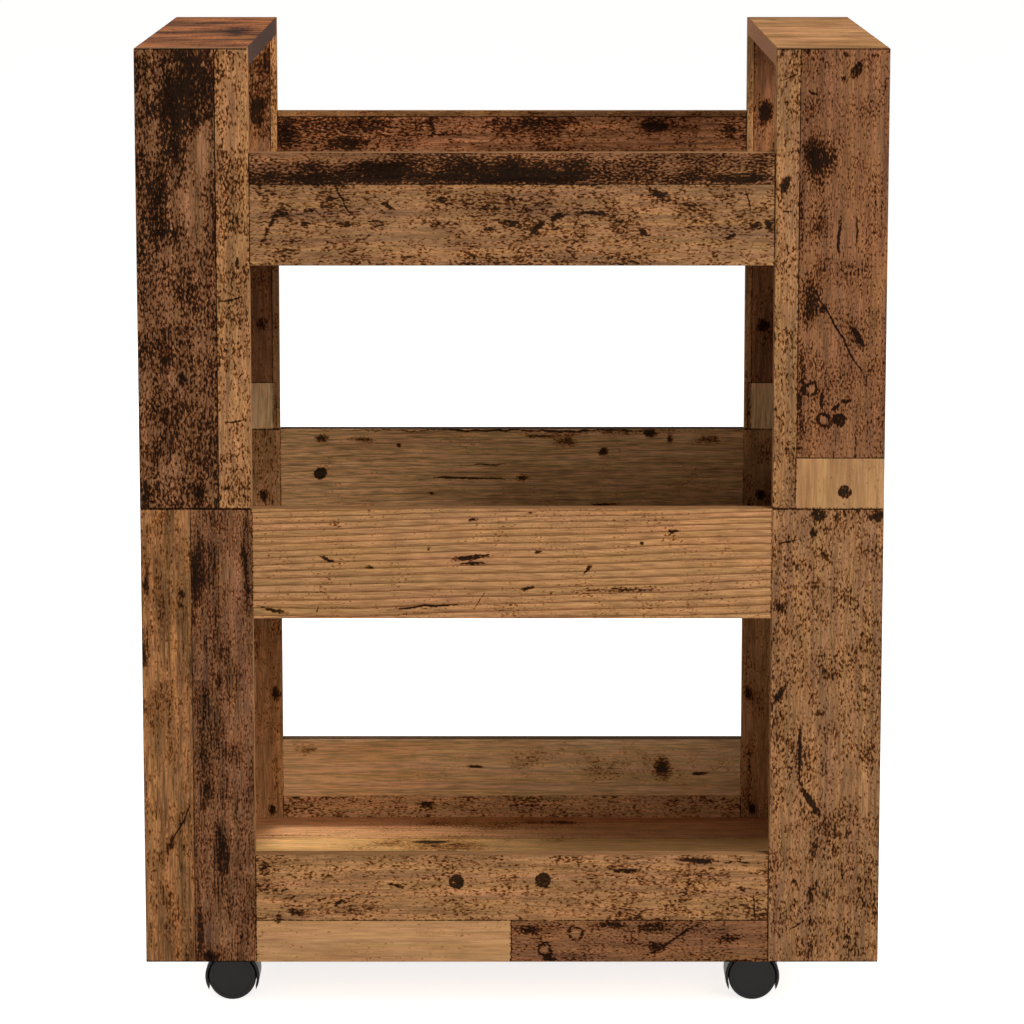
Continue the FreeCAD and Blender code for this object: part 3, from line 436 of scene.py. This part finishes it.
# Looks of the boards: axes, planks, stains and cracks.
# A plank is its print and its rectangle (from, to along the grain, from, to across it).
# A stain is its centre along and across, half length, half width, turn in degrees, depth.
# A crack is its two ends (along, across), half width and depth. All in millimetres from the low corner.
# A stain of negative depth inside a dark one leaves a ring. Tone, edge and band replace what is usual.
BOARDS = {
    "front_left_leg_upper": {
        "axes": LEG_AXES,
        "planks": [("charred_pine",), ("speckled_oak", (START, END, 64, END))],
        "stains": [
            (345, 45, 48, 32, 0, 0.7), (328, 45, 36, 22, 0, 0.3), (298, 30, 40, 16, 0, 0.6),
            (231, 62, 22, 2.5, 0, 0.9), (120, 23, 7, 5, 0, 0.9), (105, 35, 7, 5, 0, 0.9),
            (12, 4, 16, 4, 0, 0.8), (12, 47, 18, 7, 0, 0.8), (243, 18, 50, 16, 0, 0.45),
            (288, 54, 32, 10, 0, -1.7), (235, 46, 46, 15, 0, -1.2), (310, 60, 5, 4, 0, -1.2),
            (109, 27, 14, 6, 0, -0.6), (233, 77, 16, 10, 0, 0.4), (200, 80, 6, 2.5, 0, 1.2),
            (116, 72, 5, 3, 0, 0.9), (17, 70, 5, 4, 0, 0.9),
        ],
        "cracks": [
            (169, 65, 172, 88, 0.9, 1.5), (70, 65, 74, 88, 0.9, 1.4), (105, 79, 111, 88, 0.8, 1.1),
            (273, 66, 281, 76, 0.7, 0.9),
        ],
    },
    "front_left_leg_lower": {
        "axes": LEG_AXES,
        "planks": [("orange_oak",), ("brown_oak", (START, END, 41, END))],
        "stains": [
            (315, 4, 11, 4, 0, 1.1), (307, 32, 5, 4, 0, 1.0), (298, 31, 4, 3, 0, 0.9),
            (258, 2, 22, 3, 0, 0.8), (100, 20, 12, 5, 0, 0.9), (330, 47, 45, 7, 0, 0.6),
            (317, 43.5, 24, 3, 0, 0.9), (327, 85, 42, 4, 0, 0.7), (320, 71, 56, 10, 0, -0.5),
            (235, 61, 9, 3.5, 0, 0.9), (144, 50, 19, 7, 0, 0.8), (96, 62, 30, 9, 0, 0.9),
            (128, 77, 9, 2, 0, -0.9), (27, 44, 36, 4, 0, 0.8), (5, 52, 6, 8, 0, 1.0),
        ],
        "cracks": [(135, 40.5, 96, 17, 1.1, 1.6)],
    },
    "front_right_leg_upper": {
        "axes": LEG_AXES,
        "planks": [
            # The narrow darker oak strip is painted shade.
            ("red_pine",), ("patch_pine", (START, 41, 18.7, END)), ("tan_oak", (START, END, START, 18.7)),
        ],
        "stains": [
            (288, 30, 15, 12, 0, 1.0), (281, 41, 14, 12, 0, 1.0), (276, 30, 16, 9, 0, 0.8),
            (284, 36, 4, 3, 0, -1.0), (264, 36, 16, 7, 0, 0.5), (232, 36, 42, 14, 0, 0.35),
            (353, 64, 11, 5, 28, 1.8), (345, 54, 4, 3, 0, 0.9), (368, 26, 4, 3, 0, 0.9),
            (366, 54, 4, 3, 0, 0.9), (340, 86, 10, 2, 0, 0.7), (223, 52, 20, 2, 0, 1.9),
            (225, 66, 18, 1.4, 0, 1.1), (245, 21, 44, 3, 0, 0.7), (167, 28, 26, 13, 0, 1.0),
            (162, 40, 6, 5, 0, 0.9), (90, 22, 52, 4, 0, 0.9), (98, 29, 7, 7, 0, 2.8),
            (98, 29, 5, 5, 0, -5.8), (71, 41, 7, 7, 0, 2.8), (71, 41, 5, 5, 0, -5.8),
            (72, 53, 6, 6, 0, 3.4), (88, 39, 10, 2, 0, 1.2), (51, 66, 15, 1, 0, 1.1),
            (14, 58, 6, 6, 0, 5.0), (246, 80, 34, 1.2, 0, 0.6), (240, 85, 30, 1.0, 0, 0.6),
        ],
        "cracks": [
            (200, 20, 88, 84, 1.0, 1.6), (150, 60, 128, 72, 3.6, 1.5), (336, 26, 331, 33, 1.5, 1.5),
            (344, 1, 350, 18, 0.8, 1.1), (254, 3, 272, 13, 4.0, 1.8), (266, 1, 280, 18, 3.0, -1.0),
            (240, 4, 241, 15, 0.8, 1.3), (6, 57, 1, 58, 1.5, 1.5), (79, 47, 88, 54, 2.0, 1.6),
            (88, 53, 90, 63, 2.6, 1.5),
        ],
    },
    "front_right_leg_lower": {
        "axes": LEG_AXES,
        # This board's darker oak print is painted shade.
        "planks": [("tan_oak",)],
        "stains": [
            (372, 37, 6, 9, 0, 1.6), (371, 83, 6, 9, 0, 1.4), (358, 34, 5, 4, 0, 1.2),
            (340, 41, 12, 3, -30, 0.7), (296, 8, 5, 4, 0, 1.1), (208, 39, 4, 6, 0, 1.1),
            (95, 36, 14, 5, 0, 0.8), (65, 22, 8, 2.5, -20, 1.1), (53, 35, 15, 4, 0, 0.9),
            (34, 34, 6, 5, 0, 0.9), (79, 60, 9, 1.8, 0, 0.9),
        ],
        "cracks": [
            (349, 3, 352, 26, 0.9, 1.4), (214, 1, 234, 12, 3.5, 1.6), (204, 24, 146, 25, 2.0, 1.6),
            (150, 25, 120, 43, 3.2, 1.6), (27, 17, 37, 33, 1.0, 1.5),
        ],
    },
    "upper_tray_front": {
        "axes": TRAY_AXES,
        # The darker oak print of the lower plank is painted shade.
        "planks": [("tan_oak",), ("charred_pine", (START, END, 65.6, END))],
        "stains": [
            (210, 71, 260, 7, 0, 0.7), (50, 69, 80, 6, 0, 0.9), (210, 81, 300, 10, 0, 0.3),
            (60, 87, 80, 5, 0, -0.7), (250, 88, 90, 4, 0, -0.6), (104, 77, 38, 8, 0, 0.9),
            (183, 73, 38, 9, 0, 0.9), (230, 72, 30, 8, 0, 0.6), (286, 77, 3, 11, 0, 1.3),
            (395, 70, 30, 6, 0, 0.9), (97, 86, 24, 5, 0, -0.8), (79, 33, 11, 3.5, 0, 0.8),
            (102, 33, 10, 5, 0, 0.7), (110, 48, 9, 2.8, -25, 1.3), (27, 41, 10, 4.5, 0, 0.8),
            (45, 33, 5, 5, 0, 0.7), (49, 43, 7, 3, 0, 0.7), (153, 53, 7, 3, 0, 0.9),
            (149, 32, 10, 5, 0, 0.7), (193, 28, 7, 3, 0, 1.0), (206, 35, 10, 5, 0, 0.8),
            (127, 7, 10, 1.8, 0, 0.9), (314, 26, 8, 3, -45, 0.9), (328, 58, 14, 5, -25, 1.0),
            (405, 34, 9, 4, 0, 0.8), (415, 33, 5, 8, 0, 1.0), (70, 50, 30, 14, 0, 0.3),
            (175, 48, 40, 14, 0, 0.25),
        ],
        "cracks": [
            (69, 65, 85, 37, 1.0, 1.5), (28, 50, 1, 6, 2.2, 0.9), (224, 25, 238, 38, 2.8, 1.4),
            (237, 37, 256, 42, 2.8, 1.4), (255, 41.5, 288, 43, 2.4, 1.4), (396, 64, 399, 40, 0.9, 1.4),
            (379, 21, 392, 28, 2.0, 1.2),
        ],
    },
    "middle_tray_front": {
        "axes": TRAY_AXES,
        "planks": [("ringed_pine",)],
        "stains": [
            (177, 49, 21, 3.2, 4, 2.6), (180, 44, 16, 2.4, 2, 2.2), (60, 48, 9, 2.4, -20, 1.9),
            (95, 43, 6, 2.4, -15, 1.7), (143, 58, 2.5, 2.5, 0, 1.8), (179, 80, 5, 1.8, 0, 1.9),
            (67, 78, 8, 5, 0, 0.7), (223, 24, 8, 2.4, 10, 2.0), (300, 24, 48, 3, 2, 1.1),
            (272, 40, 6, 1.7, 45, 1.8), (315, 61, 2.4, 2.4, 0, 2.2), (231, 55, 5, 1.7, 10, 1.7),
            (341, 72, 6, 1.4, 0, 1.7), (226, 85, 5, 1.7, 0, 1.8),
        ],
        "cracks": [
            (0, 10, 33, 3, 2.6, 1.8), (104, 7, 181, 12.5, 1.5, 2.0), (190, 26, 175, 3, 0.8, 1.4),
            (54, 14, 51, 1, 0.8, 1.4),
        ],
    },
    "lower_tray_front": {
        "axes": TRAY_AXES,
        "planks": [
            ("speckled_oak",), ("plain_pine", (START, 209, START, 34.7)),
            ("red_pine", (209, END, START, 34.7)),
        ],
        "stains": [
            (164, 67, 7, 7, 0, 5.0), (235, 69, 7, 7, 0, 5.0), (33, 42, 11, 4.5, 0, 1.3),
            (18, 36, 4, 4, 0, 1.4), (68, 51, 7, 2.2, 30, 1.2), (115, 64, 9, 2.2, -15, 1.2),
            (8, 80, 5, 7, 0, 0.9), (361, 86, 20, 3, 0, 1.7), (304, 77, 18, 2.8, -8, 1.3),
            (398, 61, 6, 3, 0, 1.1), (262, 25, 7.5, 7.5, 0, 3.0), (262, 25, 5.4, 5.4, 0, -6.4),
            (237, 10, 7.5, 7.5, 0, 3.0), (237, 10, 5.4, 5.4, 0, -6.4), (240, 2, 8, 3, 0, 1.4),
            (289, 31, 18, 4.5, 0, 1.2), (325, 29, 17, 8, 0, 1.3), (328, 12, 8, 6, 0, 1.5),
            (389, 20, 16, 4, 10, 0.8), (399, 1, 24, 2, 0, 1.3), (222, 28, 14, 6, 0, 0.9),
        ],
        "cracks": [
            (377, 85, 420, 84, 1.0, 1.3), (314, 1, 367, 34, 1.8, 1.5), (409, 32, 410, 64, 1.1, 1.3),
        ],
    },
    "upper_tray_rear": {
        "axes": TRAY_AXES,
        "planks": [("worn_pine",), ("orange_oak", (START, END, 85.5, END))],
        "stains": [
            (138, 76, 3, 12, 0, 1.2), (65, 62, 22, 7, 0, 0.8), (8, 70, 14, 18, 0, 0.9),
            (338, 77, 15, 7, 0, 1.4), (225, 78, 48, 9, 0, 0.7), (404, 72, 20, 9, 0, 0.7),
            # The broad lighter patches at 330 and 150 along are painted light over the shadows cast from the
            # right, and the broad dark one at 60 along is painted shade.
            (330, 62, 90, 16, 0, -0.8), (150, 62, 60, 10, 0, -0.5), (60, 74, 110, 18, 0, 0.35),
        ],
        "cracks": [(120, 69, 172, 69, 1.2, 0.9)],
    },
    "middle_tray_rear": {
        "axes": TRAY_AXES,
        "edge": "#463424",
        # This board's lighter pine print is painted light.
        "planks": [("amber_pine",)],
        "stains": [
            (36, 50, 6.8, 6.8, 0, 5.0), (38, 82, 9, 4.5, 0, 1.6), (107, 75, 3.5, 3.5, 0, 1.8),
            (138, 32, 6, 2.6, 0, 1.5), (293, 70, 7, 4.5, 0, 2.0), (259, 79, 16, 7, 0, 1.2),
            (336, 84, 8, 5.5, 0, 1.4), (352, 80, 3.5, 7, 0, 1.6), (220, 46, 10, 4.5, 0, 1.4),
            (291, 21, 22, 2.4, 0, 1.2), (300, 86, 100, 4, 0, 0.9), (385, 80, 24, 5, 0, 1.1),
            (232, 84, 26, 3, 0, 1.3), (75, 80, 20, 3, 0, 1.0),
        ],
        "cracks": [
            (122, 46.5, 214, 44, 1.6, 1.9), (158, 55, 214, 60, 1.2, 1.6), (-5, 88.5, 425, 88.5, 1.6, 1.6),
        ],
    },
    "lower_tray_rear": {
        "axes": TRAY_AXES,
        "edge": "#5A4028",
        # The lighter pine print is painted light.
        "planks": [("bright_pine",), ("pale_oak", (START, END, START, 36.5))],
        "stains": [
            (176, 64, 11, 1.8, 0, 2.2), (22, 80, 16, 9, 0, 0.9), (132, 29, 10, 4.5, 0, 1.4),
            # The broad soft dark patch at 310 along is painted shade over the right part of the board.
            (348, 62, 10, 20, 0, 1.0), (383, 59, 11, 1.8, 0, 2.0), (310, 66, 220, 34, 0, 0.56),
        ],
        "cracks": [],
    },
}


def leg_twin(look, width):
    """The same board print mirrored across the grain, for the opposite rear leg of that width."""
    twin = dict(look)
    twin["planks"] = [plank if len(plank) == 1 else
                      (plank[0], (*plank[1][:2], width - plank[1][3], width - plank[1][2]))
                      for plank in look["planks"]]
    twin["stains"] = [(stain[0], width - stain[1], stain[2], stain[3], -stain[4], stain[5])
                      for stain in look["stains"]]
    twin["cracks"] = [(crack[0], width - crack[1], crack[2], width - crack[3], *crack[4:])
                      for crack in look["cracks"]]
    return twin


BOARDS["rear_right_leg_upper"] = {
    "axes": LEG_AXES,
    "planks": [
        # The lighter pine foot and the lighter oak strip along the inner edge are painted light.
        ("rear_oak",), ("bright_pine", (START, 42, 3.5, END)), ("amber_oak", (START, END, START, 5.5)),
    ],
    "stains": [
        (286, 17, 15, 8, 0, 1.8), (95, 16, 7, 7, 0, 1.8), (95, 16, 5, 5, 0, -1.6),
        # The broad lighter patch at 330 along, at the top of the leg under the handle, is painted light.
        (330, 16, 40, 10, 0, -0.4), (180, 12, 40, 6, 0, 0.4),
    ],
    "cracks": [],
}
BOARDS["rear_right_leg_lower"] = {
    "axes": LEG_AXES,
    # This board's lighter oak print is painted light.
    "planks": [("amber_oak",)],
    "stains": [
        (317, 15, 7, 6, 0, 1.6), (134, 6, 9, 5, 0, 1.1), (25, 10, 7, 4, 0, 1.5), (60, 17, 50, 8, 0, -0.6),
        (60, 7, 50, 2.5, 0, 0.5),
    ],
    "cracks": [],
}
for height in ("upper", "lower"):
    low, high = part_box(f"rear_right_leg_{height}")
    BOARDS[f"rear_left_leg_{height}"] = leg_twin(BOARDS[f"rear_right_leg_{height}"],
                                                 (high.x - low.x) * PER_METRE)
# The broad dark patch at the top of the left rear leg is painted shade under the left handle.
BOARDS["rear_left_leg_upper"]["stains"] += [(325, 76, 80, 26, 0, 0.7)]
BOARDS["left_handle"] = {
    "axes": DECK_AXES,
    # This dark edge tone on the handle's inner edge is painted shade.
    "edge": "#4E3A31",
    "band": WITH_CORNERS,
    "tone": (80.0, 45.0),
    "planks": [("chestnut",)],
    "stains": [
        (68, 210, 14, 90, 0, 0.9), (30, 250, 50, 22, 0, 0.4), (26, 70, 44, 14, 0, 0.4),
        (66, 390, 30, 16, 0, 0.4), (80, 110, 14, 60, 0, -0.9), (64, 208, 5, 4, 0, 1.6),
        (28, 330, 6, 5, 0, 1.6),
    ],
    "cracks": [(10, 172, 66, 166, 1.0, 1.4), (30, 300, 86, 306, 1.0, 1.4)],
}
BOARDS["right_handle"] = {
    "axes": DECK_AXES,
    "edge": "#A87450",
    "band": WITH_CORNERS,
    "tone": (100.0, 45.0),
    "planks": [("honey_oak",)],
    "stains": [(66, 150, 5, 4, 0, 1.8), (20, 395, 6, 5, 0, 1.6)],
    "cracks": [(10, 140, 70, 132, 1.0, 1.4), (20, 310, 84, 316, 1.0, 1.4)],
}
BOARDS["lower_deck"] = {
    "axes": DECK_AXES,
    # The lighter pine print is painted light.
    "planks": [
        ("deck_pine",), ("red_plank", (START, END, 339, END)), ("speckled_oak", (START, END, 130, 240)),
    ],
    "stains": [
        (211, 325, 22, 6, 0, 1.6), (90, 350, 60, 4, 0, 0.8), (330, 400, 40, 10, 0, 0.9),
        # The three broad soft stains at 215, 250 and 330 along are painted shade over the middle and right
        # of the deck.
        (250, 390, 120, 50, 0, 0.6), (215, 312, 120, 50, 0, 1.0), (330, 330, 60, 20, 0, 0.6),
    ],
    "cracks": [],
}


def random_look(axes, length, width, seed):
    """A board out of the photograph's sight: planks of mixed widths with stains, knots and cracks."""
    rng = random.Random(seed)
    planks = [(rng.choice(MIXED_PRINTS),)]
    edge = rng.uniform(*MIXED_WIDTHS)
    while edge < width:
        step = rng.uniform(*MIXED_WIDTHS)
        fresh = [name for name in MIXED_PRINTS if name != planks[-1][0]]
        planks.append((rng.choice(fresh), (START, END, edge, edge + step)))
        edge += step
    stains = []
    for index in range(MIXED_STAINS):
        reach = rng.uniform(*STAIN_REACH)
        stains.append((rng.uniform(0, length), rng.uniform(0, width), reach,
                       reach * rng.uniform(*STAIN_SHAPE), rng.uniform(*STAIN_TURN),
                       rng.uniform(*STAIN_DEPTH)))
    cracks = []
    for index in range(MIXED_CRACKS):
        along = rng.uniform(0, length)
        across = rng.uniform(0, width)
        cracks.append((along, across, along + rng.uniform(*CRACK_RUN), across + rng.uniform(*CRACK_RISE),
                       CRACK_HALF_WIDTH, CRACK_DEPTH))
    return {"axes": axes, "planks": planks, "stains": stains, "cracks": cracks, "band": WITH_CORNERS}


for number, (name, axes) in enumerate((
        ("left_side_panel_lower", SIDE_AXES), ("left_side_panel_upper", SIDE_AXES),
        ("right_side_panel_lower", SIDE_AXES), ("right_side_panel_upper", SIDE_AXES),
        ("middle_deck", DECK_AXES), ("upper_deck", DECK_AXES))):
    low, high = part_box(name)
    size = dict(zip("XYZ", (high - low) * PER_METRE))
    BOARDS[name] = random_look(axes, size[axes[0]], size[axes[1]], MIXED_SEED + number)

for number, (name, look) in enumerate(BOARDS.items(), 1):
    dress(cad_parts[name], aged_print(name, look, number))


def moulded_plastic(name, tone, speck, roughness):
    """Moulded plastic: an even tone with a faint cloudiness and a fine spark-eroded grain."""
    material = new_material(name)
    tree = material.node_tree
    space = add(tree, "TexCoord", {}, out="Object")
    cloud = add(tree, "TexNoise", {"Vector": space, "Scale": PER_METRE / CLOUD_SIZE, "Detail": CLOUD_DETAIL})
    colour = add(tree, "MixRGB", {"Fac": cloud, "Color1": linear(tone), "Color2": linear(speck)})
    grit = add(tree, "TexNoise", {"Vector": space, "Scale": PER_METRE / GRIT_SIZE, "Detail": GRIT_DETAIL})
    relief = add(tree, "Bump", {"Strength": GRIT_STRENGTH, "Distance": FINE_DEPTH, "Height": grit})
    rough = add(tree, "MapRange", {"Value": cloud, "To Min": roughness - PLASTIC_REACH,
                                   "To Max": roughness + PLASTIC_REACH})
    shader = add(tree, "BsdfPrincipled", {"Base Color": colour, "Roughness": rough, "Normal": relief,
                                          "Specular IOR Level": PLASTIC_SHINE})
    add(tree, "OutputMaterial", {"Surface": shader}, out=None)
    return material


def plated_metal(name, tone, shade, roughness):
    """Plated steel or die-cast zinc: a metal with a slightly mottled tone and fine handling marks."""
    material = new_material(name)
    tree = material.node_tree
    space = add(tree, "TexCoord", {}, out="Object")
    mottle = add(tree, "TexNoise", {"Vector": space, "Scale": PER_METRE / MOTTLE_SIZE,
                                    "Detail": MOTTLE_DETAIL})
    colour = add(tree, "MixRGB", {"Fac": mottle, "Color1": linear(tone), "Color2": linear(shade)})
    rough = add(tree, "MapRange", {"Value": mottle, "To Min": roughness - METAL_REACH,
                                   "To Max": roughness + METAL_REACH})
    relief = add(tree, "Bump", {"Strength": MOTTLE_STRENGTH, "Distance": FINE_DEPTH, "Height": mottle})
    shader = add(tree, "BsdfPrincipled", {"Base Color": colour, "Roughness": rough, "Normal": relief,
                                          "Metallic": 1.0})
    add(tree, "OutputMaterial", {"Surface": shader}, out=None)
    return material


def turned_beech(name):
    """Fluted beech dowel: pale pink-brown wood with short darker pores."""
    material = new_material(name)
    tree = material.node_tree
    space = add(tree, "TexCoord", {}, out="Object")
    pores = add(tree, "TexNoise", {"Vector": space, "Scale": PER_METRE / PORE_SIZE, "Detail": PORE_DETAIL})
    colour = add(tree, "MixRGB", {"Fac": pores, "Color1": linear(BEECH_DARK), "Color2": linear(BEECH_LIGHT)})
    relief = add(tree, "Bump", {"Strength": PORE_STRENGTH, "Distance": PORE_DEPTH, "Height": pores})
    shader = add(tree, "BsdfPrincipled", {"Base Color": colour, "Roughness": BEECH_ROUGHNESS,
                                          "Normal": relief})
    add(tree, "OutputMaterial", {"Surface": shader}, out=None)
    return material


turned_wood = turned_beech("turned_beech")
zinc_steel = plated_metal("zinc_plated_steel", "#C3C7C9", "#9DA3A6", 0.38)
zinc_alloy = plated_metal("die_cast_zinc", "#B4B5B3", "#8E8F8D", 0.48)
spring_steel = plated_metal("oiled_spring_steel", "#8C8F91", "#5E6163", 0.34)
natural_nylon = moulded_plastic("natural_nylon", "#E3DCCB", "#EFE9DB", 0.42)
black_nylon = moulded_plastic("black_nylon", "#0B0B0C", "#121213", 0.46)
black_polypropylene = moulded_plastic("black_polypropylene", "#080809", "#0F0F10", 0.40)

# Hardware: each finish by the end of the piece's name
HARDWARE = {
    "wood_dowels": turned_wood,
    "cam_bolts": zinc_steel,
    "cam_locks": zinc_alloy,
    "caster_screws": zinc_steel,
    "swivel_washers": natural_nylon,
    "stem_grip_rings": spring_steel,
    "_plate": zinc_steel,
    "_stem": zinc_steel,
    "_axle": zinc_steel,
    "_hood": black_polypropylene,
    "_wheel_front": black_nylon,
    "_wheel_rear": black_nylon,
}
for name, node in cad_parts.items():
    for ending, finish in HARDWARE.items():
        if name.endswith(ending):
            dress(node, finish)


def looked_at(tree):
    """1 where the eye or a reflection meets the surroundings, 0 where they only shed light."""
    rays = add(tree, "LightPath", {}, out=None).outputs
    seen = add(tree, "Math", {0: rays["Is Camera Ray"], 1: rays["Is Glossy Ray"]}, operation="MAXIMUM")
    return add(tree, "Math", {0: seen, 1: rays["Is Transmission Ray"]}, operation="MAXIMUM")


# Floor: pale, white to the eye, and still darkened by the cart's shadow
bpy.ops.mesh.primitive_plane_add(size=FLOOR_SIZE)
floor = bpy.context.object
floor.name = "studio_floor"
material = new_material("pale_studio_floor")
tree = material.node_tree
glow = add(tree, "Math", {0: looked_at(tree), 1: FLOOR_GLOW}, operation="MULTIPLY")
matt = add(tree, "BsdfDiffuse", {"Color": linear(FLOOR_TONE)})
lit = add(tree, "Emission", {"Strength": glow})
both = add(tree, "AddShader", {0: matt, 1: lit})
add(tree, "OutputMaterial", {"Surface": both}, out=None)
dress(floor, material)

# World: even ambient light, white where the eye or a reflection meets it
world = bpy.data.worlds.new("studio_world")
scene.world = world
world.use_nodes = True
tree = world.node_tree
tree.nodes.clear()
level = add(tree, "MapRange", {"Value": looked_at(tree), "To Min": AMBIENT, "To Max": 1.0})
sky = add(tree, "Background", {"Color": (1, 1, 1, 1), "Strength": level})
add(tree, "OutputWorld", {"Surface": sky}, out=None)

for name, (place, aim, (wide, high), beam, power) in SOFT_BOXES.items():
    lamp = bpy.data.lights.new(name, "AREA")
    lamp.shape = "RECTANGLE"
    lamp.size = wide
    lamp.size_y = high
    lamp.spread = math.radians(beam)
    lamp.energy = power
    holder = bpy.data.objects.new(name, lamp)
    holder.location = place
    holder.visible_camera = False
    holder.rotation_euler = (Vector(aim) - Vector(place)).to_track_quat("-Z", "Y").to_euler()
    scene.collection.objects.link(holder)

lens = bpy.data.cameras.new("photo_camera")
lens.lens = LENS
lens.sensor_width = SENSOR
eye = bpy.data.objects.new("photo_camera", lens)
eye.location = (0.0, -EYE_DISTANCE, EYE_HEIGHT)
eye.rotation_euler = (math.radians(EYE_LEVEL - EYE_TILT), 0.0, 0.0)
scene.collection.objects.link(eye)
scene.camera = eye
